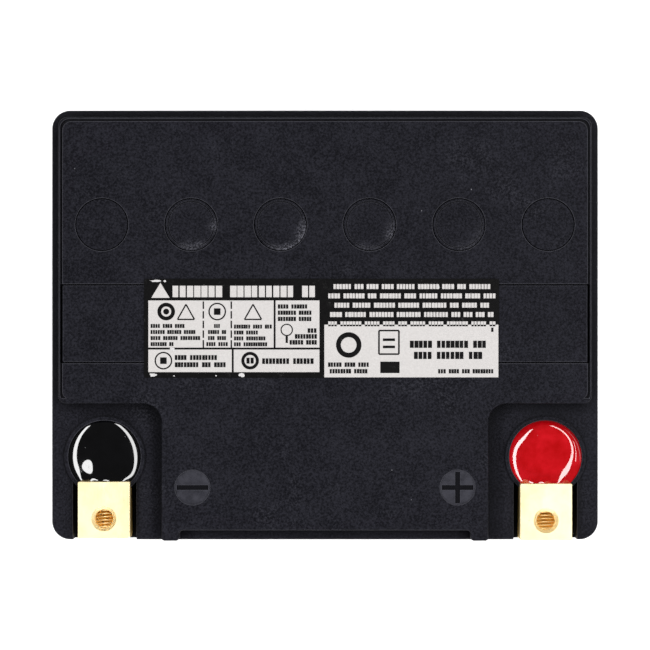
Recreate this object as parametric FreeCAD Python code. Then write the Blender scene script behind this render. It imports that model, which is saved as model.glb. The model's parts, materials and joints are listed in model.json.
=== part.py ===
import FreeCAD, Part

import math
import os

# A 12 V sealed (AGM) motorcycle battery, built from the pieces a real one is made of.
#
# Frame: the origin is at the centre of the base, +Z is up, and the terminals are on the front (-Y)
# side, the negative one on the left (-X) and the positive one on the right (+X). Lengths are in
# millimetres. Running it writes one STEP file per piece into parts/.

Vector = FreeCAD.Vector
UP = Vector(0, 0, 1)
BACK = Vector(0, 1, 0)

# ---- overall size -------------------------------------------------------------------------------
WIDTH = 168.0
DEPTH = 132.0
HEIGHT = 176.0
OUTER_RADIUS = 5.6
HALF_WIDTH = WIDTH / 2
HALF_DEPTH = DEPTH / 2

# ---- levels -------------------------------------------------------------------------------------
LABEL_THICKNESS = 0.2
TOP_Z = HEIGHT - LABEL_THICKNESS  # the lid's top panel
RECESS_Z = TOP_Z - 6.5  # the ledge round the top panel and the floor of the terminal corners
SEAM_Z = 148.0  # where the lid is welded to the case

# ---- cells --------------------------------------------------------------------------------------
CELLS = 6
CELL_WIDTH = 25.5
PARTITION = 1.6
CELL_PITCH = CELL_WIDTH + PARTITION
CELL_HALF_DEPTH = 62.2
CASE_FLOOR = 3.0
REST_RIB_HEIGHT = 3.0
WALL = 2.6

# ---- the lid's top panel ------------------------------------------------------------------------
LEDGE = 2.4
PANEL_HALF_WIDTH = HALF_WIDTH - LEDGE
PANEL_BACK = HALF_DEPTH - LEDGE
PANEL_RADIUS = 2.8
PANEL_EDGE_ROUND = 0.5
LEDGE_EDGE_ROUND = 0.6
RECESS_X = 50.0  # side wall of each terminal corner
RECESS_Y = -24.0  # back wall of each terminal corner
RECESS_RADIUS = 5.6
NOTCH_X = 44.6  # half width of the step along the front edge
NOTCH_Y = -62.8
LIP = 0.55
GROOVE = 0.75
GROOVE_DEPTH = 0.7
GROOVE_END_Y = RECESS_Y + 1.6

# ---- the filling ports and the strip that closes them -------------------------------------------
STRIP_FRONT = -11.4
STRIP_BACK = 12.2
STRIP_THICKNESS = 1.8
STRIP_GAP = 0.35
STRIP_CHAMFER = 0.22
PORT_Y = (STRIP_FRONT + STRIP_BACK) / 2
PORT_RADIUS = 4.55
PORT_TUBE_RADIUS = 6.4
PORT_DEPTH = 9.0
PORT_PLUG_RADIUS = 4.5
PORT_PLUG_LENGTH = 6.0

# ---- vent wells, plugs and relief valves --------------------------------------------------------
VENT_PITCH = 27.3
VENT_Y = 30.7
VENT_HEAD_RADIUS = 7.85
VENT_HEAD_THICKNESS = 1.5
VENT_SEAT_RADIUS = 8.15
WELL_RADIUS = 6.7
WELL_DEPTH = 11.0
WELL_WALL = 1.6
PLUG_SKIRT_RADIUS = 6.62
PLUG_SKIRT_BORE = 5.8
PLUG_SKIRT_LENGTH = 7.8
PLUG_RING_RADIUS = 7.25
PLUG_RING_WIDTH = 0.4
PLUG_RING_DEPTH = 0.22
PLUG_STAND_PROUD = 0.12
VENT_SLOT_WIDTH = 1.4
VENT_SLOT_DEPTH = 0.5
ARRESTOR_RADIUS = 5.75
ARRESTOR_THICKNESS = 1.6
NOZZLE_RADIUS = 3.0
NOZZLE_BORE = 1.5
NOZZLE_HEIGHT = 4.0
VALVE_RADIUS = 4.5
VALVE_BORE = 3.06
VALVE_SKIRT = 3.6
VALVE_TOP_THICKNESS = 1.6

# ---- terminals ----------------------------------------------------------------------------------
TERMINAL_X = 67.8
BLOCK_WIDTH = 16.0
BLOCK_LENGTH = 17.4
BLOCK_HEIGHT = 13.0
BLOCK_TOP_Z = RECESS_Z + 4.0
BLOCK_EDGE_ROUND = 0.3
BLOCK_FRONT = {"negative": -HALF_DEPTH + 0.6, "positive": -HALF_DEPTH}
THREAD_CORE_RADIUS = 2.5  # an M6 thread at its tapping size
THREAD_MOUTH_RADIUS = 3.6
THREAD_CHAMFER = 1.1
TOP_HOLE_SETBACK = 6.0
FRONT_HOLE_DROP = 6.5
FRONT_HOLE_DEPTH = 12.0
TOP_HOLE_DEPTH = FRONT_HOLE_DROP  # the top hole ends on the front hole's axis
TAIL_WIDTH = 12.0
TAIL_BACK = -34.8
TAIL_Z = 163.8
TAIL_THICKNESS = 3.0

POCKET_HALF_WIDTH = 9.8
POCKET_Z = BLOCK_TOP_Z - BLOCK_HEIGHT - 0.2
SEAL_Y = -40.5
SEAL_RADIUS = 11.2
SEAL_RING_RADIUS = 12.4
SEAL_RING_HEIGHT = 0.9
SEAL_FLOOR_Z = RECESS_Z - 8.0
SEAL_TOP_Z = RECESS_Z + 0.5
BOSS_WALL = 2.2

POST_RADIUS = 5.0
POST_TIP_RADIUS = 3.5
POST_HOLE_RADIUS = 5.2
POST_TIP_TOP = TAIL_Z + TAIL_THICKNESS + 0.9
POST_HEAD_RADIUS = 4.6
GASKET_RADIUS = 7.4
GASKET_HEIGHT = TAIL_Z - SEAL_FLOOR_Z - 0.1

# ---- polarity marks -----------------------------------------------------------------------------
MARK_X = 40.55
MARK_Y = -49.7
MARK_RADIUS = 5.35
MARK_DEPTH = 0.25
SIGN_LENGTH = 9.6
SIGN_WIDTH = 1.45
SIGN_DEPTH = 0.4

# ---- label --------------------------------------------------------------------------------------
LABEL_LEFT = -55.3
LABEL_RIGHT = 53.2
LABEL_FRONT = -16.1
LABEL_BACK = 14.1
LABEL_RADIUS = 0.6

# ---- case ---------------------------------------------------------------------------------------
FLANGE_HEIGHT = 7.0
FLANGE_INSET = 0.5
CASE_TOP_INSET = 0.9
CASE_BASE_INSET = 1.5
CASE_RADIUS = 5.0
CASE_BASE_ROUND = 1.5
FACE_PANEL_Y = 64.0
FACE_PANEL_HALF_WIDTH = 70.0
SIDE_PANEL_X = 82.0
SIDE_PANEL_HALF_WIDTH = 52.0
PANEL_LOW_Z = 14.0
PANEL_HIGH_Z = 128.0
PANEL_CORNER = 4.0
SIDE_RIBS = 5
SIDE_RIB_WIDTH = 2.2

# ---- plate stacks -------------------------------------------------------------------------------
PLATE_WIDTH = 118.0
PLATE_HEIGHT = 112.0
PLATE_Z = CASE_FLOOR + REST_RIB_HEIGHT + 1.0
POSITIVE_PLATES = 4
POSITIVE_THICKNESS = 2.2
NEGATIVE_THICKNESS = 1.6
MAT_THICKNESS = 1.0
MAT_OVERHANG = 1.5
LUG_WIDTH = 12.0
LUG_Y = 40.0
STRAP_Z = PLATE_Z + PLATE_HEIGHT + 7.0
STRAP_THICKNESS = 5.0
STRAP_WIDTH = 16.0
FLAG_THICKNESS = 3.0
FLAG_TOP_Z = 146.0
JOIN_RADIUS = 5.0
JOIN_CLEARANCE = 0.05
JOIN_Z = STRAP_Z + STRAP_THICKNESS + 6.0


# ---- shape helpers ------------------------------------------------------------------------------
def box(low, high):
    """A box between two opposite corners."""
    size = [h - l for l, h in zip(low, high)]
    return Part.makeBox(*size, Vector(*low))


def cylinder(radius, x, y, low, high):
    """An upright cylinder."""
    return Part.makeCylinder(radius, high - low, Vector(x, y, low), UP)


def outline(corners, z):
    """A closed wire at height z through (x, y, radius) corners, each rounded by its own radius."""
    points = [Vector(x, y, z) for x, y, _ in corners]
    radii = [r for _, _, r in corners]
    count = len(points)
    arcs = []
    for i, point in enumerate(points):
        before = (points[i - 1] - point).normalize()
        after = (points[(i + 1) % count] - point).normalize()
        turn = before.getAngle(after)
        reach = radii[i] / math.tan(turn / 2)
        centre_distance = radii[i] / math.sin(turn / 2)
        middle = point + (before + after).normalize() * (centre_distance - radii[i])
        arcs.append((point + before * reach, middle, point + after * reach))
    edges = []
    for i, (start, middle, end) in enumerate(arcs):
        edges.append(Part.Arc(start, middle, end).toShape())
        edges.append(Part.LineSegment(end, arcs[(i + 1) % count][0]).toShape())
    return Part.Wire(edges)


def rounded_rectangle(left, front, right, back, radius, z):
    """A rounded rectangle's wire."""
    corners = [(left, front), (right, front), (right, back), (left, back)]
    return outline([(x, y, radius) for x, y in corners], z)


def prism(wire, height):
    """A solid standing on a wire."""
    return Part.Face(wire).extrude(Vector(0, 0, height))


def rounded_block(half_width, half_depth, radius, low, high):
    """An upright block with rounded vertical edges, centred on the origin."""
    wire = rounded_rectangle(-half_width, -half_depth, half_width, half_depth, radius, low)
    return prism(wire, high - low)


def edges_at(shape, z):
    """The edges that lie flat at height z."""
    near = 1e-4
    flat = []
    for edge in shape.Edges:
        bounds = edge.BoundBox
        if abs(bounds.ZMin - z) < near and abs(bounds.ZMax - z) < near:
            flat.append(edge)
    return flat


def mirrored(shape):
    """The shape's mirror image across the battery's middle plane."""
    return shape.mirror(Vector(0, 0, 0), Vector(1, 0, 0))


def cell_x(cell):
    """The middle of a cell, counted from 0 at the negative end."""
    return (cell - (CELLS - 1) / 2) * CELL_PITCH


def vent_x(cell):
    """The axis of a cell's vent and filling port."""
    return (cell - (CELLS - 1) / 2) * VENT_PITCH


def side_of(pole):
    """-1 for the negative terminal's side, 1 for the positive one's."""
    return -1 if pole == "negative" else 1


# ---- case ---------------------------------------------------------------------------------------
def case_shell():
    """The drafted outer block of the case, with its welding flange."""
    lower = rounded_rectangle(
        -HALF_WIDTH + CASE_BASE_INSET, -HALF_DEPTH + CASE_BASE_INSET,
        HALF_WIDTH - CASE_BASE_INSET, HALF_DEPTH - CASE_BASE_INSET, CASE_RADIUS, 0)
    upper = rounded_rectangle(
        -HALF_WIDTH + CASE_TOP_INSET, -HALF_DEPTH + CASE_TOP_INSET,
        HALF_WIDTH - CASE_TOP_INSET, HALF_DEPTH - CASE_TOP_INSET, CASE_RADIUS, SEAM_Z)
    body = Part.makeLoft([lower, upper], True, True)
    body = body.makeFillet(CASE_BASE_ROUND, edges_at(body, 0))
    flange = rounded_block(
        HALF_WIDTH - FLANGE_INSET, HALF_DEPTH - FLANGE_INSET, OUTER_RADIUS - FLANGE_INSET,
        SEAM_Z - FLANGE_HEIGHT, SEAM_Z)
    flange = flange.makeChamfer(0.35, edges_at(flange, SEAM_Z - FLANGE_HEIGHT))
    return body.fuse(flange)


def panel_cutter(half_width, inner, outer):
    """A rounded slab that sinks a panel into the +Y wall, from inner out to outer."""
    wire = rounded_rectangle(-half_width, PANEL_LOW_Z, half_width, PANEL_HIGH_Z, PANEL_CORNER, 0)
    slab = prism(wire, outer - inner)
    slab.rotate(Vector(0, 0, 0), Vector(1, 0, 0), 90)
    slab.translate(Vector(0, outer, 0))
    return slab


def wall_panels():
    """The sunk panels of the four walls; the ones at the sides are divided by upright ribs."""
    back = panel_cutter(FACE_PANEL_HALF_WIDTH, FACE_PANEL_Y, HALF_DEPTH + 1)
    front = back.mirror(Vector(0, 0, 0), Vector(0, 1, 0))
    side = panel_cutter(SIDE_PANEL_HALF_WIDTH, SIDE_PANEL_X, HALF_WIDTH + 1)
    side.rotate(Vector(0, 0, 0), UP, -90)
    spacing = 2 * SIDE_PANEL_HALF_WIDTH / (SIDE_RIBS + 1)
    ribs = []
    for i in range(SIDE_RIBS):
        middle = -SIDE_PANEL_HALF_WIDTH + (i + 1) * spacing
        ribs.append(box(
            (SIDE_PANEL_X - 1, middle - SIDE_RIB_WIDTH / 2, 0),
            (HALF_WIDTH + 2, middle + SIDE_RIB_WIDTH / 2, SEAM_Z)))
    side = side.cut(ribs)
    return [back, front, side, mirrored(side)]


def cell_chamber(cell):
    """The space of one cell in the case, with two rest ribs left standing on its floor."""
    x = cell_x(cell)
    low = (x - CELL_WIDTH / 2, -CELL_HALF_DEPTH, CASE_FLOOR)
    high = (x + CELL_WIDTH / 2, CELL_HALF_DEPTH, SEAM_Z + 1)
    chamber = box(low, high)
    ribs = []
    for y in (-LUG_Y, LUG_Y):
        ribs.append(box(
            (low[0] - 1, y - 1.5, CASE_FLOOR - 1),
            (high[0] + 1, y + 1.5, CASE_FLOOR + REST_RIB_HEIGHT)))
    return chamber.cut(ribs)


def join_y(cell):
    """Where the joint through the wall between a cell and the next one lies."""
    return LUG_Y if cell % 2 == 0 else -LUG_Y


def partition_holes():
    """The holes through the partitions that the joints between cells pass through."""
    radius = JOIN_RADIUS + JOIN_CLEARANCE
    holes = []
    for cell in range(CELLS - 1):
        wall_x = cell_x(cell) + CELL_PITCH / 2
        start = Vector(wall_x - PARTITION, join_y(cell), JOIN_Z)
        holes.append(Part.makeCylinder(radius, 2 * PARTITION, start, Vector(1, 0, 0)))
    return holes


def make_case():
    cutters = wall_panels() + [cell_chamber(cell) for cell in range(CELLS)] + partition_holes()
    return case_shell().cut(cutters)


# ---- lid ----------------------------------------------------------------------------------------
def panel_corners(inset):
    """The outline of the raised top panel, drawn in by inset, as (x, y, radius) corners."""
    side = PANEL_HALF_WIDTH - inset
    back = PANEL_BACK - inset
    step = RECESS_Y + inset
    inner = RECESS_X - inset
    foot = -HALF_DEPTH + inset
    notch = NOTCH_X + inset
    edge = NOTCH_Y + inset
    right = [
        (notch, edge, 1.2), (notch, foot, 1.0), (inner, foot, 1.0),
        (inner, step, RECESS_RADIUS), (side, step, 2.4), (side, back, PANEL_RADIUS)]
    left = [(-x, y, r) for x, y, r in reversed(right)]
    return right + left


def lid_outside():
    """The skirt up to the ledge, with the raised panel on it."""
    skirt = rounded_block(HALF_WIDTH, HALF_DEPTH, OUTER_RADIUS, SEAM_Z, RECESS_Z)
    skirt = skirt.makeFillet(LEDGE_EDGE_ROUND, edges_at(skirt, RECESS_Z))
    panel = prism(outline(panel_corners(0), RECESS_Z - 2), TOP_Z - RECESS_Z + 2)
    panel = panel.makeFillet(PANEL_EDGE_ROUND, edges_at(panel, TOP_Z))
    rings = [seal_ring(side) for side in (-1, 1)]
    return skirt.fuse([panel] + rings)


def seal_ring(side):
    """The raised rim round a terminal's sealing well, before the well is cut."""
    top = RECESS_Z + SEAL_RING_HEIGHT
    ring = cylinder(SEAL_RING_RADIUS, side * TERMINAL_X, SEAL_Y, RECESS_Z - 1, top)
    return ring.makeFillet(0.3, edges_at(ring, top))


def cell_headroom(cell):
    """The space above one cell, up to the underside of the ledge and then of the top panel."""
    x = cell_x(cell)
    left, right = x - CELL_WIDTH / 2, x + CELL_WIDTH / 2
    lower = box(
        (left, -CELL_HALF_DEPTH, SEAM_Z - 1), (right, CELL_HALF_DEPTH, RECESS_Z - WALL))
    side_wall = PANEL_HALF_WIDTH - WALL
    upper = box(
        (max(left, -side_wall), NOTCH_Y + WALL, SEAM_Z),
        (min(right, side_wall), PANEL_BACK - WALL, TOP_Z - WALL))
    corner = [corner_block(side) for side in (-1, 1)]
    return lower.fuse(upper.cut(corner))


def corner_block(side):
    """What stays solid behind a terminal corner, above the underside of the ledge."""
    x = sorted((side * (RECESS_X - WALL), side * (HALF_WIDTH + 1)))
    return box((x[0], -HALF_DEPTH, RECESS_Z - WALL), (x[1], RECESS_Y + WALL, TOP_Z))


def terminal_boss(side):
    """The solid lump that holds a terminal's pocket and sealing well."""
    x = side * TERMINAL_X
    half = POCKET_HALF_WIDTH + BOSS_WALL
    around_block = box((x - half, -HALF_DEPTH, POCKET_Z - BOSS_WALL), (x + half, SEAL_Y, RECESS_Z))
    around_well = cylinder(SEAL_RING_RADIUS + 1, x, SEAL_Y, SEAL_FLOOR_Z - BOSS_WALL, RECESS_Z)
    return around_block.fuse(around_well)


def terminal_hollows(side, front):
    """The sealing well, the pocket of the brass block and the hole of the post."""
    x = side * TERMINAL_X
    high = RECESS_Z + 5
    well = cylinder(SEAL_RADIUS, x, SEAL_Y, SEAL_FLOOR_Z, high)
    ring = cylinder(SEAL_RING_RADIUS, x, SEAL_Y, POCKET_Z - 1, high + 1)
    channel = box(
        (x - POCKET_HALF_WIDTH, -HALF_DEPTH - 1, POCKET_Z), (x + POCKET_HALF_WIDTH, SEAL_Y, high))
    half = BLOCK_WIDTH / 2 + 0.05
    slot = box((x - half, -HALF_DEPTH - 1, POCKET_Z), (x + half, front + BLOCK_LENGTH + 0.05, high))
    post = cylinder(POST_HOLE_RADIUS, x, SEAL_Y, POCKET_Z - 9, SEAL_FLOOR_Z + 1)
    return [well, channel.cut(ring), slot, post]


def vent_boss(cell):
    """The cup that hangs under the top panel round a vent well."""
    floor = TOP_Z - WELL_DEPTH
    return cylinder(WELL_RADIUS + WELL_WALL, vent_x(cell), VENT_Y, floor - WELL_WALL, TOP_Z - 1)


def vent_hollow(cell):
    """A vent well: the seat of the plug, the well, and the nozzle that stays standing in it."""
    x = vent_x(cell)
    floor = TOP_Z - WELL_DEPTH
    seat = cylinder(VENT_SEAT_RADIUS, x, VENT_Y, TOP_Z - VENT_HEAD_THICKNESS, TOP_Z + 1)
    well = cylinder(WELL_RADIUS, x, VENT_Y, floor, TOP_Z)
    nozzle = cylinder(NOZZLE_RADIUS, x, VENT_Y, floor - 1, floor + NOZZLE_HEIGHT)
    bore = cylinder(NOZZLE_BORE, x, VENT_Y, floor - WELL_WALL - 1, floor + NOZZLE_HEIGHT + 1)
    return seat.fuse(well).cut(nozzle).fuse(bore)


def port_tube(cell):
    """The tube under a filling port."""
    low, high = TOP_Z - PORT_DEPTH, TOP_Z - STRIP_THICKNESS - 1
    return cylinder(PORT_TUBE_RADIUS, vent_x(cell), PORT_Y, low, high)


def strip_bed():
    """The thicker stretch of the top panel under the strip's channel."""
    return box(
        (-HALF_WIDTH, STRIP_FRONT - 2, TOP_Z - STRIP_THICKNESS - WALL),
        (HALF_WIDTH, STRIP_BACK + 2, TOP_Z))


def panel_groove():
    """The fine groove inside the panel's lip, along its sides and back."""
    outer = prism(outline(panel_corners(LIP), TOP_Z - GROOVE_DEPTH), GROOVE_DEPTH + 1)
    inner = prism(outline(panel_corners(LIP + GROOVE), TOP_Z - GROOVE_DEPTH - 1), GROOVE_DEPTH + 3)
    behind = box((-WIDTH, GROOVE_END_Y, TOP_Z - 5), (WIDTH, DEPTH, TOP_Z + 5))
    return outer.cut(inner).common(behind)


def strip_channel():
    """The shallow channel that the strip lies in."""
    half = PANEL_HALF_WIDTH - LIP
    return box(
        (-half, STRIP_FRONT - STRIP_GAP, TOP_Z - STRIP_THICKNESS),
        (half, STRIP_BACK + STRIP_GAP, TOP_Z + 1))


def polarity_mark(side):
    """A shallow round dish with a minus or plus sign sunk in it."""
    x = side * MARK_X
    dish = cylinder(MARK_RADIUS, x, MARK_Y, TOP_Z - MARK_DEPTH, TOP_Z + 1)
    low = TOP_Z - MARK_DEPTH - SIGN_DEPTH
    across = box(
        (x - SIGN_LENGTH / 2, MARK_Y - SIGN_WIDTH / 2, low),
        (x + SIGN_LENGTH / 2, MARK_Y + SIGN_WIDTH / 2, TOP_Z))
    mark = dish.fuse(across)
    if side > 0:
        along = box(
            (x - SIGN_WIDTH / 2, MARK_Y - SIGN_LENGTH / 2, low),
            (x + SIGN_WIDTH / 2, MARK_Y + SIGN_LENGTH / 2, TOP_Z))
        mark = mark.fuse(along)
    return mark


def make_lid():
    bosses = [terminal_boss(side) for side in (-1, 1)] + [strip_bed()]
    bosses += [vent_boss(cell) for cell in range(CELLS)] + [port_tube(cell) for cell in range(CELLS)]
    hollows = [cell_headroom(cell).cut(bosses) for cell in range(CELLS)]
    for pole, front in BLOCK_FRONT.items():
        hollows += terminal_hollows(side_of(pole), front)
    hollows += [vent_hollow(cell) for cell in range(CELLS)]
    hollows += [
        cylinder(PORT_RADIUS, vent_x(cell), PORT_Y, TOP_Z - PORT_DEPTH - 1, TOP_Z) for cell in range(CELLS)]
    hollows += [panel_groove(), strip_channel(), polarity_mark(-1), polarity_mark(1)]
    return lid_outside().cut(hollows)


def corner_space(side):
    """The space of a terminal corner of the lid: its ledge, all under it, and the well's rim."""
    x = sorted((side * RECESS_X, side * (HALF_WIDTH + 1)))
    below = box((x[0], -HALF_DEPTH - 1, SEAM_Z - 1), (x[1], RECESS_Y, RECESS_Z))
    rim = cylinder(SEAL_RING_RADIUS + 1, side * TERMINAL_X, SEAL_Y, RECESS_Z - 1, TOP_Z)
    return below.fuse(rim)


def split_lid():
    """The lid in three pieces by name: its two terminal corners, and the rest of it."""
    whole = make_lid()
    spaces = {pole: corner_space(side_of(pole)) for pole in BLOCK_FRONT}
    pieces = {f"lid_corner_{pole}": whole.common(space) for pole, space in spaces.items()}
    pieces["lid"] = whole.cut(list(spaces.values()))
    return pieces


# ---- pieces set into the lid --------------------------------------------------------------------
def make_filler_strip():
    """The long strip, with a plug on its underside for each filling port."""
    half = PANEL_HALF_WIDTH - LIP - GROOVE
    low = TOP_Z - STRIP_THICKNESS
    strip = prism(rounded_rectangle(-half, STRIP_FRONT, half, STRIP_BACK, 0.5, low), STRIP_THICKNESS)
    strip = strip.makeChamfer(STRIP_CHAMFER, edges_at(strip, TOP_Z))
    plugs = []
    for cell in range(CELLS):
        base = Vector(vent_x(cell), PORT_Y, low - PORT_PLUG_LENGTH)
        plug = Part.makeCone(PORT_PLUG_RADIUS - 0.5, PORT_PLUG_RADIUS, PORT_PLUG_LENGTH, base, UP)
        core = cylinder(2.6, base.x, base.y, base.z - 1, low - 1)
        plugs.append(plug.cut(core))
    return strip.fuse(plugs)


def make_vent_plug(cell):
    """A round plug: a flush head, and a skirt that fits the well and has two slots for the gas."""
    x = vent_x(cell)
    ringed = 0 < cell < CELLS - 1
    seat = TOP_Z - VENT_HEAD_THICKNESS
    top = TOP_Z + (PLUG_STAND_PROUD if ringed else 0)
    head = cylinder(VENT_HEAD_RADIUS, x, VENT_Y, seat, top)
    head = head.makeFillet(0.15, edges_at(head, top))
    skirt = cylinder(PLUG_SKIRT_RADIUS, x, VENT_Y, seat - PLUG_SKIRT_LENGTH, seat)
    bore = cylinder(PLUG_SKIRT_BORE, x, VENT_Y, seat - PLUG_SKIRT_LENGTH - 1, seat)
    plug = head.fuse(skirt.cut(bore))
    slots = box(
        (x - VENT_SLOT_WIDTH / 2, VENT_Y - VENT_HEAD_RADIUS - 1, seat - PLUG_SKIRT_LENGTH - 1),
        (x + VENT_SLOT_WIDTH / 2, VENT_Y + VENT_HEAD_RADIUS + 1, seat + VENT_SLOT_DEPTH))
    core = cylinder(PLUG_SKIRT_BORE, x, VENT_Y, seat - PLUG_SKIRT_LENGTH - 2, seat + VENT_SLOT_DEPTH + 1)
    plug = plug.cut(slots.cut(core))
    if ringed:
        ring = cylinder(PLUG_RING_RADIUS, x, VENT_Y, top - PLUG_RING_DEPTH, top + 1)
        middle = cylinder(PLUG_RING_RADIUS - PLUG_RING_WIDTH, x, VENT_Y, top - 1, top + 2)
        plug = plug.cut(ring.cut(middle))
    return plug


def make_flame_arrestor(cell):
    """The porous disc inside a vent plug, against its head."""
    top = TOP_Z - VENT_HEAD_THICKNESS
    return cylinder(ARRESTOR_RADIUS, vent_x(cell), VENT_Y, top - ARRESTOR_THICKNESS, top)


def make_relief_valve(cell):
    """The rubber cap that sits on a nozzle and lifts off it under pressure."""
    x = vent_x(cell)
    seat = TOP_Z - WELL_DEPTH + NOZZLE_HEIGHT
    cap = cylinder(VALVE_RADIUS, x, VENT_Y, seat - VALVE_SKIRT, seat + VALVE_TOP_THICKNESS)
    cap = cap.makeFillet(0.5, edges_at(cap, seat + VALVE_TOP_THICKNESS))
    return cap.cut(cylinder(VALVE_BORE, x, VENT_Y, seat - VALVE_SKIRT - 1, seat))


def make_label():
    wire = rounded_rectangle(LABEL_LEFT, LABEL_FRONT, LABEL_RIGHT, LABEL_BACK, LABEL_RADIUS, TOP_Z)
    return prism(wire, LABEL_THICKNESS)


# ---- terminals ----------------------------------------------------------------------------------
def thread_hole(mouth, direction, depth):
    """A hole at the tapping size with a countersunk mouth, running from mouth along direction."""
    hole = Part.makeCylinder(THREAD_CORE_RADIUS, depth, mouth, direction)
    countersink = Part.makeCone(
        THREAD_MOUTH_RADIUS, THREAD_CORE_RADIUS, THREAD_CHAMFER, mouth, direction)
    return hole.fuse(countersink)


def make_terminal(pole):
    """A brass block with a threaded hole from the top and one from the front, and a tail to the post."""
    x = side_of(pole) * TERMINAL_X
    front = BLOCK_FRONT[pole]
    back = front + BLOCK_LENGTH
    half = BLOCK_WIDTH / 2
    low = BLOCK_TOP_Z - BLOCK_HEIGHT
    block = prism(rounded_rectangle(x - half, front, x + half, back, 0.5, low), BLOCK_HEIGHT)
    block = block.makeFillet(BLOCK_EDGE_ROUND, edges_at(block, BLOCK_TOP_Z))
    tail = prism(
        rounded_rectangle(x - TAIL_WIDTH / 2, back - 2, x + TAIL_WIDTH / 2, TAIL_BACK, 1.5, TAIL_Z),
        TAIL_THICKNESS)
    post_hole = cylinder(POST_TIP_RADIUS + 0.05, x, SEAL_Y, TAIL_Z - 1, TAIL_Z + TAIL_THICKNESS + 1)
    top_mouth = Vector(x, front + TOP_HOLE_SETBACK, BLOCK_TOP_Z)
    front_mouth = Vector(x, front, BLOCK_TOP_Z - FRONT_HOLE_DROP)
    top_hole = thread_hole(top_mouth, -UP, TOP_HOLE_DEPTH)
    front_hole = thread_hole(front_mouth, BACK, FRONT_HOLE_DEPTH)
    return block.fuse(tail).cut([post_hole, top_hole, front_hole])


def make_post(pole):
    """The lead post from an end strap up into the sealing well, its tip riveted over the brass tail."""
    x = side_of(pole) * TERMINAL_X
    shank = cylinder(POST_RADIUS, x, SEAL_Y, STRAP_Z + STRAP_THICKNESS, TAIL_Z)
    tip = cylinder(POST_TIP_RADIUS, x, SEAL_Y, TAIL_Z - 1, POST_TIP_TOP)
    head = cylinder(POST_HEAD_RADIUS, x, SEAL_Y, TAIL_Z + TAIL_THICKNESS, POST_TIP_TOP)
    return shank.fuse([tip, head])


def make_gasket(pole):
    """The rubber ring round a post, on the floor of the sealing well."""
    x = side_of(pole) * TERMINAL_X
    ring = cylinder(GASKET_RADIUS, x, SEAL_Y, SEAL_FLOOR_Z, SEAL_FLOOR_Z + GASKET_HEIGHT)
    return ring.cut(cylinder(POST_RADIUS, x, SEAL_Y, SEAL_FLOOR_Z - 1, TAIL_Z))


def make_potting(pole, buried):
    """The resin that fills a sealing well round the pieces buried in it."""
    x = side_of(pole) * TERMINAL_X
    front = BLOCK_FRONT[pole]
    resin = cylinder(SEAL_RADIUS, x, SEAL_Y, SEAL_FLOOR_Z, SEAL_TOP_Z)
    half = BLOCK_WIDTH / 2 + 0.05
    block_space = box(
        (x - half, -HALF_DEPTH, POCKET_Z), (x + half, front + BLOCK_LENGTH + 0.05, TOP_Z))
    post_space = cylinder(POST_HOLE_RADIUS, x, SEAL_Y, POCKET_Z - 1, SEAL_FLOOR_Z + GASKET_HEIGHT)
    resin = resin.cut([block_space, post_space] + buried)
    return max(resin.Solids, key=lambda solid: solid.Volume)


# ---- cells --------------------------------------------------------------------------------------
def plate_places():
    """(kind, left face's x from the stack's middle) of each plate, starting and ending with a negative."""
    wrapped = POSITIVE_THICKNESS + 2 * MAT_THICKNESS
    total = POSITIVE_PLATES * wrapped + (POSITIVE_PLATES + 1) * NEGATIVE_THICKNESS
    x = -total / 2
    places = [("negative", x)]
    for _ in range(POSITIVE_PLATES):
        places.append(("positive", x + NEGATIVE_THICKNESS + MAT_THICKNESS))
        places.append(("negative", x + NEGATIVE_THICKNESS + wrapped))
        x += NEGATIVE_THICKNESS + wrapped
    return places


def lug_y(cell, kind):
    """The side on which a cell's plates of one kind carry their lugs."""
    front_kind = "negative" if cell % 2 == 0 else "positive"
    return -LUG_Y if kind == front_kind else LUG_Y


def make_plates(cell, kind):
    """A cell's plates of one kind, each with the lug that its strap is cast on."""
    thickness = POSITIVE_THICKNESS if kind == "positive" else NEGATIVE_THICKNESS
    y = lug_y(cell, kind)
    plates = []
    for place_kind, offset in plate_places():
        if place_kind != kind:
            continue
        left = cell_x(cell) + offset
        right = left + thickness
        top = PLATE_Z + PLATE_HEIGHT
        plate = box((left, -PLATE_WIDTH / 2, PLATE_Z), (right, PLATE_WIDTH / 2, top))
        lug = box((left, y - LUG_WIDTH / 2, top - 1), (right, y + LUG_WIDTH / 2, STRAP_Z))
        plates.append(plate.fuse(lug).removeSplitter())
    return Part.makeCompound(plates)


def make_separators(cell):
    """The glass mats of a cell, each folded under and up both faces of a positive plate."""
    mats = []
    for kind, offset in plate_places():
        if kind == "negative":
            continue
        left = cell_x(cell) + offset
        right = left + POSITIVE_THICKNESS
        half = PLATE_WIDTH / 2 + MAT_OVERHANG
        top = PLATE_Z + PLATE_HEIGHT + MAT_OVERHANG
        mat = box((left - MAT_THICKNESS, -half, PLATE_Z - 1), (right + MAT_THICKNESS, half, top))
        mats.append(mat.cut(box((left, -half - 1, PLATE_Z), (right, half + 1, top + 1))))
    return Part.makeCompound(mats)


def make_strap(cell, kind):
    """One cast strap, with an upright flag beside the partition that its current passes through."""
    x = cell_x(cell)
    y = lug_y(cell, kind)
    half = CELL_WIDTH / 2 - 0.1
    low = (x - half, y - STRAP_WIDTH / 2, STRAP_Z)
    high = (x + half, y + STRAP_WIDTH / 2, STRAP_Z + STRAP_THICKNESS)
    strap = box(low, high)
    if kind == "positive" and cell < CELLS - 1:
        flag = box((high[0] - FLAG_THICKNESS, low[1], STRAP_Z), (high[0], high[1], FLAG_TOP_Z))
        return strap.fuse(flag).removeSplitter()
    if kind == "negative" and cell > 0:
        flag = box((low[0], low[1], STRAP_Z), (low[0] + FLAG_THICKNESS, high[1], FLAG_TOP_Z))
        return strap.fuse(flag).removeSplitter()
    return strap


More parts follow.
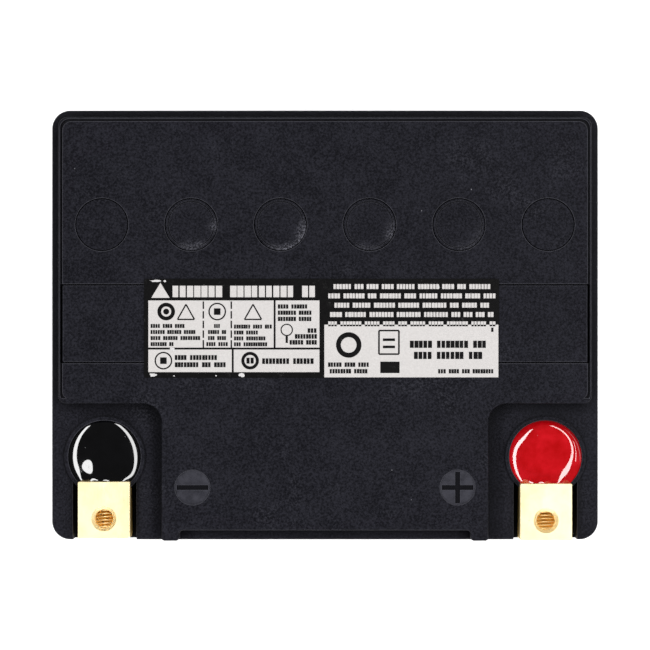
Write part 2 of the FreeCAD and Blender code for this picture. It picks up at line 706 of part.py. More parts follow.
def make_straps(cell):
    return Part.makeCompound([make_strap(cell, kind) for kind in ("negative", "positive")])


def make_cell_joints():
    """The lead joints that pass through the partitions and link the flags of neighbouring cells."""
    length = PARTITION + 0.2
    joints = []
    for cell in range(CELLS - 1):
        wall_x = cell_x(cell) + CELL_PITCH / 2
        start = Vector(wall_x - length / 2, join_y(cell), JOIN_Z)
        joints.append(Part.makeCylinder(JOIN_RADIUS, length, start, Vector(1, 0, 0)))
    return Part.makeCompound(joints)


# ---- everything ---------------------------------------------------------------------------------
def make_parts():
    """Every piece, by name."""
    parts = {
        "case": make_case(),
        "filler_strip": make_filler_strip(),
        "label": make_label(),
    }
    parts.update(split_lid())
    for pole in BLOCK_FRONT:
        terminal = make_terminal(pole)
        post = make_post(pole)
        gasket = make_gasket(pole)
        parts[f"terminal_{pole}"] = terminal
        parts[f"post_{pole}"] = post
        parts[f"post_gasket_{pole}"] = gasket
        parts[f"potting_{pole}"] = make_potting(pole, [terminal, post, gasket])
    for cell in range(CELLS):
        number = cell + 1
        parts[f"vent_plug_{number}"] = make_vent_plug(cell)
        parts[f"flame_arrestor_{number}"] = make_flame_arrestor(cell)
        parts[f"relief_valve_{number}"] = make_relief_valve(cell)
        parts[f"positive_plates_{number}"] = make_plates(cell, "positive")
        parts[f"negative_plates_{number}"] = make_plates(cell, "negative")
        parts[f"separators_{number}"] = make_separators(cell)
        parts[f"straps_{number}"] = make_straps(cell)
    parts["cell_joints"] = make_cell_joints()
    return parts


def main():
    os.makedirs("parts", exist_ok=True)
    for name, shape in make_parts().items():
        solids = len(shape.Solids)
        print(f"{name}: {solids} solids, valid {shape.isValid()}, {shape.Volume / 1000:.3f} cm3")
        shape.exportStep(f"parts/{name}.step")


main()
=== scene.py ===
import json
import math
import random

import bmesh
import bpy
from mathutils import Matrix, Vector


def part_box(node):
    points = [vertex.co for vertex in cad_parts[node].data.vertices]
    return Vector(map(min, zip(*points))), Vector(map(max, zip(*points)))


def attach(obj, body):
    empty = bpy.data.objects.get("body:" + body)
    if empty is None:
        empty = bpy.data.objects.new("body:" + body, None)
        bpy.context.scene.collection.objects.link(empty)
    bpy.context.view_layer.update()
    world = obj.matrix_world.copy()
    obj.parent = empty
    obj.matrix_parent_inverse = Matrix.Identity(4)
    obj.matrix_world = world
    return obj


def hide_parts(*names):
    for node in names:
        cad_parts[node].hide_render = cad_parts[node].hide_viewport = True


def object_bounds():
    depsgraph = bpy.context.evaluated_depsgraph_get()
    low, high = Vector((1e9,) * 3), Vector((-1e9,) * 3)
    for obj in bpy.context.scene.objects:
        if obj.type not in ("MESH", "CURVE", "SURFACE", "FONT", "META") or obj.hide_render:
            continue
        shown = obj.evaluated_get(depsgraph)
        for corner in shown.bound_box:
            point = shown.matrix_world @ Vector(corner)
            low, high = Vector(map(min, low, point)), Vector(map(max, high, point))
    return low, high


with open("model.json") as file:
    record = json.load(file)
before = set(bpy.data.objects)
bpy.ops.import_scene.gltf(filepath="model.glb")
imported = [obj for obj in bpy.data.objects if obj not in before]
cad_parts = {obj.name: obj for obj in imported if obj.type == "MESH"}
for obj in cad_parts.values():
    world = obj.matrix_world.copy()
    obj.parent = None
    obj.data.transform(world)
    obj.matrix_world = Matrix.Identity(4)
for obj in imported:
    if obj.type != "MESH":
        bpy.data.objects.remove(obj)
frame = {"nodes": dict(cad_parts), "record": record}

# The looks of a sealed motorcycle battery. Lengths are in metres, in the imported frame: +Z is up and
# the terminals are on the -Y side, the negative one at -X.

MM = 0.001
CAD_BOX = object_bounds()
TOP = CAD_BOX[1].z
POLES = ("negative", "positive")

# ---- camera and light ---------------------------------------------------------------------------
CAMERA_DISTANCE = 1.0
VIEW_WIDTH = 0.1987
SENSOR = 36.0
FLOOR_SIZE = 6.0
FLOOR_DROP = 0.02 * MM  # keeps the floor's face off the case's base
LIGHTS_AIM = Vector((0, 0, 0.15))
AMBIENT = 0.06
SOFTBOXES = (
    # name, place, width and height, power in watts
    ("softbox_right", (0.505, 0.10, 1.13), (2.2, 0.22), 14.5),
    ("softbox_left", (-0.73, 0.0, 1.13), (2.0, 0.20), 14.0),
    ("softbox_far_right", (1.35, -0.10, 1.05), (1.0, 0.12), 4.0),
    ("softbox_front", (0.0, -1.3, 0.62), (1.2, 0.4), 10.0),
)

# ---- colours and reaches that several materials share -------------------------------------------
# pale colour of scuffs, which also paints a highlight on edges
PALE_WEAR_AND_HIGHLIGHT = (0.085, 0.085, 0.10)
DUST = (0.42, 0.42, 0.45)
LID_DARK = (0.0016, 0.0016, 0.0034)
LID_LIGHT = (0.0132, 0.0132, 0.0188)
# painted shade: the colour that corners and hollows are darkened towards, and how far from a wall it
# reaches
CORNER_SHADE = (0.001, 0.001, 0.002)
CORNER_SHADE_REACH = 4.5 * MM

# ---- threads ------------------------------------------------------------------------------------
THREAD_PITCH = 1.0 * MM
THREAD_ROOT = 2.80 * MM
THREAD_RISE = 0.42 * MM
THREAD_MOUTH = 3.85 * MM
TOP_THREAD_DEPTH = 6.5 * MM
FRONT_THREAD_DEPTH = 12.0 * MM
THREAD_SIDES = 48
THREAD_STEPS = 8
TOP_HOLE_SETBACK = 6.0 * MM
FRONT_HOLE_DROP = 6.5 * MM
BLOCK_LENGTH = 17.4 * MM

# ---- polarity marks ------------------------------------------------------------------------------
MARK_X = 40.55 * MM
MARK_Y = -49.7 * MM
MARK_RADIUS = 5.35 * MM
# how far under the battery's highest point a mark's dish, and the sign in it, lie at the least
DISH_LOW = 0.35 * MM
SIGN_LOW = 0.65 * MM

# ---- meshes -------------------------------------------------------------------------------------
# vertices of a CAD node closer than this are one vertex
MERGE_REACH = 0.001 * MM
# edges that a boolean leaves shorter than this are taken out
DEGENERATE_REACH = 0.002 * MM
# a face counts as square to an axis when this much of its normal lies along it
SQUARE_TO_AXIS = 0.99995
# degrees: edges sharper than these stay sharp
SHARP = 35
SHARP_BRASS = 32
SHARP_RESIN = 60
SHARP_BEAD = 70

# ---- resin --------------------------------------------------------------------------------------
RESIN_EDGE = 0.10 * MM
RESIN_CLIMB = 1.1 * MM
RESIN_CLIMB_REACH = 0.9 * MM
RESIN_SIDES = 144
RESIN_RINGS = 40
RESIN_SIDE_GAP = 0.04 * MM
RESIN_BLOCK_GAP = 0.02 * MM
RESIN_SUNK = 0.05 * MM  # how far its foot reaches into the CAD potting

# ---- the label's layers, as heights above its underside -----------------------------------------
FILM_TOP = 0.14 * MM
PANEL_TOP = 0.17 * MM
LABEL_CORNER = 0.6 * MM
MARKS_TOP = 0.20 * MM
LAYER_SUNK = 0.01 * MM  # how far a layer's foot reaches into the one below
RING_SIDES = 36

# ---- the bead under the lid's skirt --------------------------------------------------------------
BEAD_INSET = 0.42 * MM
BEAD_DROP = 0.1 * MM
BEAD_CORNER = 5.2 * MM
BEAD_STEP = 1.6 * MM
BEAD_SIZES = (0.22, 0.34)
BEAD_SIDES = 8


# ---- materials ----------------------------------------------------------------------------------
class Surface:
    """A procedural material, whose texture coordinates are metres in the battery's frame."""

    def __init__(self, name, constants):
        self.material = bpy.data.materials.new(name)
        self.material.use_nodes = True
        self.tree = self.material.node_tree
        self.shader = self.tree.nodes["Principled BSDF"]
        self.place = self.add("ShaderNodeTexCoord").outputs["Object"]
        for socket, value in constants.items():
            self.shader.inputs[socket].default_value = value

    def add(self, kind, links=(), **settings):
        """A new node; links maps its inputs to sockets or to plain values."""
        node = self.tree.nodes.new(kind)
        for name, value in settings.items():
            setattr(node, name, value)
        for key, value in dict(links).items():
            if isinstance(value, bpy.types.NodeSocket):
                self.tree.links.new(value, node.inputs[key])
            else:
                node.inputs[key].default_value = value
        return node

    def stretched(self, x, y, z):
        """The coordinates, scaled along each axis."""
        return self.add("ShaderNodeMapping", {"Vector": self.place, "Scale": (x, y, z)}).outputs[0]

    def noise(self, scale, detail=4.0, roughness=0.6, where=None):
        links = {
            "Vector": where or self.place, "Scale": scale, "Detail": detail, "Roughness": roughness}
        return self.add("ShaderNodeTexNoise", links).outputs[0]

    def band(self, value, low, high, to_low=0.0, to_high=1.0):
        """value, taken from low..high to to_low..to_high and clamped there."""
        links = {0: value, 1: low, 2: high, 3: to_low, 4: to_high}
        return self.add("ShaderNodeMapRange", links).outputs[0]

    def math(self, operation, a, b=0.0):
        return self.add("ShaderNodeMath", {0: a, 1: b}, operation=operation).outputs[0]

    def length(self, x, y):
        return self.math(
            "SQRT", self.math("ADD", self.math("MULTIPLY", x, x), self.math("MULTIPLY", y, y)))

    def specks(self, scale, size, share):
        """Small ragged spots, in the given share of the cells of a Voronoi pattern."""
        links = {"Vector": self.place, "Scale": 2.5 * scale}
        wobble = self.add("ShaderNodeTexNoise", links).outputs[1]
        links = {0: wobble, "Scale": 0.5 / scale}
        push = self.add("ShaderNodeVectorMath", links, operation="SCALE").outputs[0]
        where = self.add("ShaderNodeVectorMath", {0: self.place, 1: push}).outputs[0]
        cells = self.add("ShaderNodeTexVoronoi", {"Vector": where, "Scale": scale})
        spot = self.band(cells.outputs["Distance"], size, size * 0.4)
        pick = self.add("ShaderNodeSeparateColor", {0: cells.outputs["Color"]}).outputs[0]
        return self.math("MULTIPLY", spot, self.math("GREATER_THAN", pick, 1.0 - share))

    def cavity(self, reach):
        """0 deep in corners and 1 on open faces; it masks painted shade and painted reflections in
        hollows.
        """
        shade = self.add("ShaderNodeAmbientOcclusion", {"Distance": reach}, samples=8)
        return self.band(shade.outputs["AO"], 0.45, 0.98)

    def edges(self, radius):
        """1 on convex and concave edges, 0 on flat faces."""
        rounded = self.add("ShaderNodeBevel", {"Radius": radius}, samples=6).outputs[0]
        flat = self.add("ShaderNodeNewGeometry").outputs["Normal"]
        dot = self.add("ShaderNodeVectorMath", {0: rounded, 1: flat}, operation="DOT_PRODUCT")
        return self.band(dot.outputs["Value"], 0.995, 0.90)

    def blend(self, share, first, second):
        """A colour between two colours or colour sockets."""
        node = self.add("ShaderNodeMix", data_type="RGBA")
        for key, value in ((0, share), (6, first), (7, second)):
            if isinstance(value, bpy.types.NodeSocket):
                self.tree.links.new(value, node.inputs[key])
            elif key:
                node.inputs[key].default_value = (*value, 1.0)
            else:
                node.inputs[key].default_value = value
        return node.outputs[2]

    def base(self):
        """The colour set so far."""
        return self.shader.inputs["Base Color"].links[0].from_socket

    def colour(self, socket):
        self.tree.links.new(socket, self.shader.inputs["Base Color"])

    def rough(self, socket):
        self.tree.links.new(socket, self.shader.inputs["Roughness"])

    def bump(self, *layers):
        """Raises the surface by (height socket, distance in metres, strength) layers in turn."""
        normal = None
        for height, distance, strength in layers:
            links = {"Height": height, "Distance": distance, "Strength": strength}
            if normal:
                links["Normal"] = normal
            normal = self.add("ShaderNodeBump", links).outputs[0]
        self.tree.links.new(normal, self.shader.inputs["Normal"])


def black_plastic(name, dark, light, scuff_share, edge=0.35 * MM):
    """Moulded black polypropylene with cloudy tone, faint scratches and dust; edges lightened partly
    as rubbed wear and partly as a painted highlight; painted shade in corners and hollows.

    Comes with the layers of its fine relief, for bump().
    """
    s = Surface(name, {"Specular IOR Level": 0.08})
    grain = s.noise(1500.0, 4.0, 0.75)
    clouds = s.noise(95.0, 6.0, 0.75)
    tone = s.math("ADD", s.math("MULTIPLY", grain, 0.78), s.math("MULTIPLY", clouds, 0.22))
    base = s.blend(s.band(tone, 0.42, 0.60), dark, light)
    along_x = s.noise(9.0, 6.0, 0.72, s.stretched(3.0, 120.0, 3.0))
    along_y = s.noise(7.0, 6.0, 0.72, s.stretched(120.0, 4.0, 3.0))
    scratches = s.math("MAXIMUM", s.band(along_x, 0.66, 0.74), s.band(along_y, 0.67, 0.75))
    patches = s.math("MULTIPLY", s.band(s.noise(34.0, 3.0), 0.58, 0.72), s.band(grain, 0.50, 0.62))
    worn = s.math("MAXIMUM", s.math("MULTIPLY", scratches, 0.5), patches)
    base = s.blend(s.math("MULTIPLY", worn, scuff_share), base, PALE_WEAR_AND_HIGHLIGHT)
    # Edges, convex and concave alike, are lightened: partly rubbed wear, partly a painted highlight.
    base = s.blend(s.math("MULTIPLY", s.edges(edge), 0.6), base, PALE_WEAR_AND_HIGHLIGHT)
    # Painted shade: corners and hollows darken towards the corner shade colour, by ambient occlusion.
    base = s.blend(s.band(s.cavity(CORNER_SHADE_REACH), 0.0, 1.0, 0.8, 0.0), base, CORNER_SHADE)
    here = s.band(s.noise(26.0, 2.0), 0.50, 0.56)
    dust = s.math("MULTIPLY", s.specks(330.0, 0.085, 0.05), here)
    base = s.blend(s.math("MULTIPLY", dust, 0.55), base, DUST)
    s.colour(base)
    s.rough(s.band(tone, 0.35, 0.65, 0.44, 0.62))
    return s, ((grain, 0.09 * MM, 0.6), (clouds, 0.25 * MM, 0.12), (scratches, 0.03 * MM, 0.3))


def lid_plastic():
    """The lid's plastic, with the dishes of its two polarity marks lightened by a painted sheen, and
    the dark signs in them.
    """
    s, relief = black_plastic("lid_plastic", LID_DARK, LID_LIGHT, 0.2)
    s.bump(*relief)
    parts = s.add("ShaderNodeSeparateXYZ", {0: s.place}).outputs
    x = s.math("SUBTRACT", s.math("ABSOLUTE", parts["X"]), MARK_X)
    y = s.math("SUBTRACT", parts["Y"], MARK_Y)
    inside = s.math("LESS_THAN", s.length(x, y), MARK_RADIUS)
    below = s.math("SUBTRACT", TOP, parts["Z"])
    dish = s.math("MULTIPLY", inside, s.math("GREATER_THAN", below, DISH_LOW))
    sign = s.math("MULTIPLY", dish, s.math("GREATER_THAN", below, SIGN_LOW))
    # Painted sheen: the dishes are paled in a mottled way.
    shine = s.band(s.noise(300.0, 3.0), 0.35, 0.65, 0.35, 0.85)
    base = s.blend(s.math("MULTIPLY", dish, shine), s.base(), (0.040, 0.040, 0.050))
    s.colour(s.blend(sign, base, (0.0015, 0.0015, 0.003)))
    return s.material


def case_plastic():
    """The case has the coarser grain of a spark-eroded mould."""
    s, _ = black_plastic("case_plastic", (0.0035, 0.0035, 0.005), (0.0125, 0.0125, 0.0165), 0.25)
    coarse = s.noise(900.0, 4.0, 0.75)
    s.bump((coarse, 0.16 * MM, 0.6), (s.noise(40.0, 3.0), 0.3 * MM, 0.12))
    return s.material


def plug_plastic():
    """The plugs' plastic, with a pale speckled patch on the front right part of the middle ones'
    heads, partly scuffs and partly a painted highlight.
    """
    s, relief = black_plastic("plug_plastic", LID_DARK, LID_LIGHT, 0.2, 0.12 * MM)
    s.bump(*relief)
    low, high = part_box("vent_plug_2")
    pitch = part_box("vent_plug_3")[0].x - low.x
    radius = (high.x - low.x) / 2
    parts = s.add("ShaderNodeSeparateXYZ", {0: s.place}).outputs
    step = s.math("FRACT", s.math("DIVIDE", parts["X"], pitch))
    x = s.math("MULTIPLY", s.math("SUBTRACT", step, 0.5), pitch / radius)
    y = s.math("DIVIDE", s.math("SUBTRACT", parts["Y"], (low.y + high.y) / 2), radius)
    way = s.math("SUBTRACT", s.math("MULTIPLY", x, 0.6), s.math("MULTIPLY", y, 0.8))
    # Painted highlight, partly scuffs: the heads are paled towards their front right, where light
    # falls, in a speckled patch.
    pale_patch = s.math("MULTIPLY", s.band(s.length(x, y), 0.50, 0.90), s.band(way, 0.25, 0.8))
    pale_patch = s.math("MULTIPLY", pale_patch, s.band(s.noise(1700.0, 4.0, 0.75), 0.47, 0.58))
    pale_patch = s.math("MULTIPLY", pale_patch, s.band(s.noise(90.0, 2.0), 0.40, 0.60))
    inner = s.band(s.math("ABSOLUTE", parts["X"]), 1.6 * pitch, 2.0 * pitch, 1.0, 0.0)
    left = s.band(parts["X"], -0.5 * pitch, 1.5 * pitch, 0.8, 0.25)
    pale_patch = s.math("MULTIPLY", pale_patch, s.math("MULTIPLY", inner, left))
    on_head = s.band(parts["Z"], high.z - 1.0 * MM, high.z - 0.5 * MM)
    s.colour(s.blend(s.math("MULTIPLY", pale_patch, on_head), s.base(), (0.17, 0.17, 0.20)))
    return s.material


def brass():
    s = Surface("terminal_brass", {"Metallic": 1.0, "Anisotropic": 0.2})
    milling = s.noise(60.0, 5.0, 0.65, s.stretched(60.0, 3.0, 60.0))
    stain = s.noise(170.0, 4.0, 0.6)
    base = s.blend(s.band(stain, 0.35, 0.7), (1.0, 0.90, 0.60), (0.97, 0.82, 0.48))
    base = s.blend(s.math("MULTIPLY", s.specks(700.0, 0.16, 0.03), 0.4), base, (0.45, 0.30, 0.12))
    # Painted reflection: hollows such as the threads are painted a deeper warm gold, standing in for
    # light bouncing between the brass walls.
    s.colour(s.blend(s.band(s.cavity(3 * MM), 0.0, 1.0, 1.0, 0.0), base, (1.0, 0.66, 0.20)))
    s.rough(s.band(milling, 0.3, 0.7, 0.50, 0.60))
    s.bump((milling, 0.01 * MM, 0.3), (stain, 0.01 * MM, 0.1))
    return s.material


def resin(name, dark, light):
    """Poured glossy resin with a little dust on it."""
    s = Surface(name, {"Coat Weight": 1.0, "Coat Roughness": 0.015, "IOR": 1.5})
    swirl = s.noise(220.0, 5.0, 0.6)
    base = s.blend(s.band(swirl, 0.35, 0.7), dark, light)
    dust = s.specks(900.0, 0.16, 0.08)
    s.colour(s.blend(s.math("MULTIPLY", dust, 0.10), base, (0.4, 0.38, 0.4)))
    s.rough(s.math("ADD", s.band(swirl, 0.3, 0.8, 0.03, 0.09), s.math("MULTIPLY", dust, 0.4)))
    s.bump((s.noise(130.0, 3.0), 0.06 * MM, 0.12), (dust, 0.02 * MM, 0.3))
    return s.material


def printed(name, base, worn, amount):
    """A printed layer, rubbed through in places."""
    s = Surface(name, {"Specular IOR Level": 0.1})
    fibre = s.noise(1800.0, 3.0, 0.7)
    pale_patch = s.band(s.noise(300.0, 6.0, 0.78), 0.60, 0.70)
    tone = s.blend(s.band(fibre, 0.3, 0.7), base, tuple(c * 0.86 for c in base))
    s.colour(s.blend(s.math("MULTIPLY", pale_patch, amount), tone, worn))
    s.rough(s.band(fibre, 0.3, 0.7, 0.34, 0.50))
    s.bump((fibre, 0.02 * MM, 0.2), (s.noise(120.0, 2.0), 0.1 * MM, 0.08))
    return s.material


def cast_lead():
    s = Surface("cast_lead", {"Metallic": 0.85})
    skin = s.noise(420.0, 6.0, 0.66)
    bloom = s.noise(60.0, 4.0)
    s.colour(s.blend(s.band(bloom, 0.35, 0.7), (0.28, 0.29, 0.31), (0.46, 0.47, 0.49)))
    s.rough(s.band(skin, 0.3, 0.7, 0.42, 0.66))
    s.bump((skin, 0.12 * MM, 0.5))
    return s.material


def plate_paste(name, dark, light):
    """Pasted plate: crumbly paste over the ribs of a cast grid."""
    s = Surface(name, {"Metallic": 0.1})
    crumb = s.noise(1100.0, 6.0, 0.75)
    ribs = s.add("ShaderNodeTexWave", {"Vector": s.stretched(1.0, 1.0, 2.2), "Scale": 42.0},
                 bands_direction="Z").outputs[1]
    s.colour(s.blend(s.band(crumb, 0.3, 0.7), dark, light))
    s.rough(s.band(crumb, 0.3, 0.7, 0.7, 0.95))
    s.bump((ribs, 0.2 * MM, 0.5), (crumb, 0.08 * MM, 0.6))
    return s.material


def glass_mat():
    s = Surface("glass_mat", {"Sheen Weight": 0.3})
    fibres = s.noise(70.0, 8.0, 0.8, s.stretched(4.0, 60.0, 4.0))
    felt = s.noise(900.0, 5.0, 0.8)
    s.colour(s.blend(s.band(felt, 0.3, 0.7), (0.70, 0.71, 0.70), (0.86, 0.87, 0.86)))
    s.rough(s.band(felt, 0.3, 0.7, 0.82, 0.98))
    s.bump((fibres, 0.1 * MM, 0.5), (felt, 0.1 * MM, 0.6))
    return s.material


def rubber():
    s = Surface("black_rubber", {"Specular IOR Level": 0.3})
    skin = s.noise(1500.0, 4.0, 0.7)
    s.colour(s.blend(s.band(s.noise(180.0), 0.3, 0.7), (0.012, 0.012, 0.013), (0.03, 0.03, 0.032)))
    s.rough(s.band(skin, 0.3, 0.7, 0.55, 0.8))
    s.bump((skin, 0.04 * MM, 0.4))
    return s.material


def porous_plastic():
    s = Surface("porous_plastic", {"Specular IOR Level": 0.3})
    pores = s.noise(3500.0, 4.0, 0.85)
    s.colour(s.blend(s.band(pores, 0.35, 0.6), (0.42, 0.42, 0.40), (0.78, 0.78, 0.76)))
    s.rough(s.band(pores, 0.3, 0.7, 0.7, 0.95))
    s.bump((pores, 0.12 * MM, 0.9))
    return s.material


def floor_material():
    glow = {"Emission Color": (1.0, 1.0, 1.0, 1.0), "Emission Strength": 0.35}
    s = Surface("pale_floor", {"Specular IOR Level": 0.1, **glow})
    s.colour(s.blend(s.noise(6.0, 3.0), (0.93, 0.93, 0.93), (0.95, 0.95, 0.95)))
    s.rough(s.band(s.noise(40.0), 0.3, 0.7, 0.85, 0.95))
    return s.material


MATERIALS = {
    "case_plastic": case_plastic(),
    "lid_plastic": lid_plastic(),
    "plug_plastic": plug_plastic(),
    "terminal_brass": brass(),
    "black_resin": resin("black_resin", (0.0004, 0.0004, 0.0006), (0.0012, 0.0012, 0.0016)),
    "red_resin": resin("red_resin", (0.34, 0.0, 0.001), (0.47, 0.004, 0.009)),
    "cast_lead": cast_lead(),
    "positive_paste": plate_paste("positive_paste", (0.045, 0.022, 0.014), (0.11, 0.06, 0.04)),
    "negative_paste": plate_paste("negative_paste", (0.14, 0.145, 0.15), (0.27, 0.275, 0.28)),
    "glass_mat": glass_mat(),
    "black_rubber": rubber(),
    "porous_plastic": porous_plastic(),
    "label_film": printed("label_film", (0.0022, 0.0020, 0.0022), (0.4, 0.39, 0.39), 0.06),
}
PANEL_INK = printed("label_panel_ink", (0.53, 0.51, 0.50), (0.62, 0.60, 0.59), 0.5)
DARK_INK = printed("label_dark_ink", (0.003, 0.0027, 0.003), (0.4, 0.39, 0.39), 0.10)
SCUFF = printed("label_scuff", (0.56, 0.55, 0.55), (0.7, 0.7, 0.7), 0.3)


# ---- mesh helpers -------------------------------------------------------------------------------
def piece(name, mesh_data, material, body="battery"):
    """A new object made of a bmesh, with the given material and riding on a body."""
    mesh = bpy.data.meshes.new(name)
    bmesh.ops.recalc_face_normals(mesh_data, faces=mesh_data.faces)
    mesh_data.to_mesh(mesh)
    mesh_data.free()
    obj = bpy.data.objects.new(name, mesh)
    bpy.context.scene.collection.objects.link(obj)
    obj.data.materials.append(material)
    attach(obj, body)
    return obj


def add_prism(mesh, outline, low, high):
    """Adds an upright prism over an (x, y) outline."""
    bottom = [mesh.verts.new((x, y, low)) for x, y in outline]
    top = [mesh.verts.new((x, y, high)) for x, y in outline]
    mesh.faces.new(top)
    mesh.faces.new(bottom)
    for i, vertex in enumerate(top):
        mesh.faces.new((vertex, top[i - 1], bottom[i - 1], bottom[i]))


def rounded_outline(left, front, right, back, radius, steps=6):
    """The points of a rounded rectangle, counter-clockwise from its front right corner."""
    corners = [
        (right - radius, front + radius, -90), (right - radius, back - radius, 0),
        (left + radius, back - radius, 90), (left + radius, front + radius, 180)]
    points = []
    for x, y, start in corners:
        for i in range(steps + 1):
            angle = math.radians(start + 90 * i / steps)
            points.append((x + radius * math.cos(angle), y + radius * math.sin(angle)))
    return points


def circle(x, y, radius, count=48):
    turns = [2 * math.pi / count * i for i in range(count)]
    return [(x + radius * math.cos(turn), y + radius * math.sin(turn)) for turn in turns]


def bar(start, end, width):
    """The outline of a straight bar between two points."""
    start, end = Vector(start), Vector(end)
    side = (end - start).orthogonal().normalized() * width / 2
    return [tuple(p) for p in (start - side, end - side, end + side, start + side)]


def smooth(obj, angle=SHARP):
    """Shades obj smooth, except across sharp edges and on faces that are square to an axis."""
    for face in obj.data.polygons:
        face.use_smooth = max(abs(c) for c in face.normal) < SQUARE_TO_AXIS
    obj.data.set_sharp_from_angle(angle=math.radians(angle))


# ---- label --------------------------------------------------------------------------------------
class Print:
    """One printed layer of the label; places are millimetres from the label's front left corner."""

    def __init__(self, low, high):
        self.mesh = bmesh.new()
        self.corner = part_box("label")[0]
        self.low = self.corner.z + low
        self.high = self.corner.z + high

    def shape(self, outline):
        placed = [(self.corner.x + x * MM, self.corner.y + y * MM) for x, y in outline]
        add_prism(self.mesh, placed, self.low, self.high)

    def panel(self, left, low, right, high):
        self.shape([(left, low), (right, low), (right, high), (left, high)])

    def disc(self, x, y, radius):
        self.shape(circle(x, y, radius))

    def ring(self, x, y, radius, width):
        """A flat ring with an open middle."""
        loops = []
        for reach, z in (
                (radius, self.low), (radius, self.high),
                (radius - width, self.high), (radius - width, self.low)):
            loops.append([
                self.mesh.verts.new((self.corner.x + px * MM, self.corner.y + py * MM, z))
                for px, py in circle(x, y, reach, RING_SIDES)])
        for i in range(RING_SIDES):
            for one, other in zip(loops, loops[1:] + loops[:1]):
                self.mesh.faces.new((one[i - 1], one[i], other[i], other[i - 1]))

    def path(self, points, width):
        """Bars along a closed line."""
        for i, point in enumerate(points):
            self.shape(bar(points[i - 1], point, width))

    def words(self, left, top, width, height, rng, longest=8):
        """A line of plain upright blocks, in groups that stand for words."""
        step = 0.62 * height
        count = max(1, round(width / step))
        step = width / count
        word = 0
        for i in range(count):
            if word == 0:
                word = rng.randint(3, longest)
                if 0 < i < count - 2:
                    continue
            word -= 1
            right = left + (i + rng.uniform(0.74, 0.92)) * step
            self.panel(left + i * step, top - height, right, top)

    def block(self, left, top, widths, height, pitch, rng, align=0.0):
        """Lines of words; align is 0 for flush left, 0.5 for centred and 1 for flush right."""
        for i, width in enumerate(widths):
            self.words(left - align * width, top - i * pitch, width, height, rng)


def triangle(x, y, half, height):
    return [(x - half, y), (x + half, y), (x, y + height)]


def label_panels():
    """The pale areas, and what is printed pale on the black ground."""
    rng = random.Random(5)
    layer = Print(FILM_TOP - LAYER_SUNK, PANEL_TOP)
    for left, right in ((1.3, 39.6), (40.2, 53.6)):
        layer.panel(left, 9.2, right, 23.6)
    for left, right in ((1.3, 26.8), (27.4, 53.6)):
        layer.panel(left, 1.7, right, 8.6)
    layer.panel(55.1, 0.1, 108.3, 16.2)
    layer.shape(triangle(5.0, 24.4, 2.8, 4.6))
    layer.words(8.7, 28.1, 44.0, 3.5, rng, 9)
    layer.block(81.9, 28.6, (48.0, 51.2, 47.4, 50.1, 51.2), 1.5, 2.85, rng, 0.5)
    return layer


def label_marks():
    """What is printed dark on the pale areas: plain signs and word bars."""
    rng = random.Random(8)
    layer = Print(PANEL_TOP - LAYER_SUNK, MARKS_TOP)
    layer.ring(6.75, 20.2, 2.7, 1.15)
    layer.disc(6.75, 20.2, 0.9)
    layer.path(triangle(12.8, 17.8, 2.6, 4.6), 0.42)
    layer.block(2.0, 16.4, (10.4, 13.8, 15.2, 7.1), 1.2, 1.85, rng)
    layer.ring(22.35, 20.2, 2.7, 0.42)
    layer.panel(21.35, 19.2, 23.35, 21.2)
    layer.block(22.35, 16.4, (1.9, 5.6, 5.6, 6.6), 1.2, 1.85, rng, 0.5)
    layer.path(triangle(33.3, 17.8, 2.6, 4.6), 0.42)
    layer.block(27.5, 16.2, (11.6, 7.4, 9.7, 10.2), 1.2, 1.8, rng)
    layer.block(40.9, 22.4, (9.1, 10.4, 10.4), 1.3, 1.9, rng)
    layer.ring(43.6, 14.6, 1.9, 0.35)
    layer.shape(bar((43.6, 12.7), (43.6, 10.6), 0.7))
    layer.block(52.9, 15.1, (2.9, 6.8, 8.4), 1.4, 1.8, rng, 1.0)
    layer.ring(5.9, 5.2, 2.7, 0.42)
    layer.panel(4.9, 4.2, 6.9, 6.2)
    layer.block(9.4, 6.9, (13.0, 15.7), 1.5, 2.2, rng)
    layer.ring(32.4, 5.2, 2.7, 0.95)
    layer.panel(31.3, 4.3, 32.25, 6.1)
    layer.panel(32.55, 4.3, 33.5, 6.1)
    layer.words(36.1, 5.9, 15.8, 1.7, rng)
    for left in (18.1, 26.65):
        for i in range(5):
            layer.panel(left - 0.22, 9.2 + 2.95 * i, left + 0.22, 11.5 + 2.95 * i)
    layer.ring(62.55, 10.0, 3.9, 1.5)
    layer.block(62.55, 4.65, (12.6, 11.6), 1.35, 2.0, rng, 0.5)
    layer.path([(71.8, 7.2), (77.9, 7.2), (77.9, 14.4), (71.8, 14.4)], 0.5)
    layer.panel(73.0, 9.0, 76.7, 9.8)
    layer.panel(73.0, 11.2, 76.7, 12.0)
    layer.panel(72.2, 1.4, 78.1, 4.9)
    layer.block(93.0, 11.3, (23.5, 21.0), 2.2, 3.4, rng, 0.5)
    layer.words(89.9, 2.6, 17.0, 1.3, rng)
    layer.panel(106.1, 14.0, 106.8, 15.3)
    return layer


def label_scuffs():
    """Ragged pale flakes where the label is rubbed through near its edges."""
    rng = random.Random(3)
    layer = Print(MARKS_TOP - LAYER_SUNK, MARKS_TOP)
    # x, y, half width and half height of each flake
    places = [
        (3.6, 29.6, 2.2, 0.4), (6.3, 29.5, 0.5, 0.4), (2.7, 0.8, 1.4, 0.6),
        (29.9, 0.8, 1.1, 0.7), (90.0, 27.7, 0.35, 0.7), (9.2, 0.5, 0.3, 0.25),
        (22.0, 0.6, 0.3, 0.25), (8.6, 8.7, 1.0, 0.7)]
    for x, y, wide, high in places:
        flake = []
        for px, py in circle(0, 0, 1.0, 15):
            reach = rng.uniform(0.55, 1.0)
            flake.append((x + px * wide * reach, y + py * high * reach))
        layer.shape(flake)
    return layer


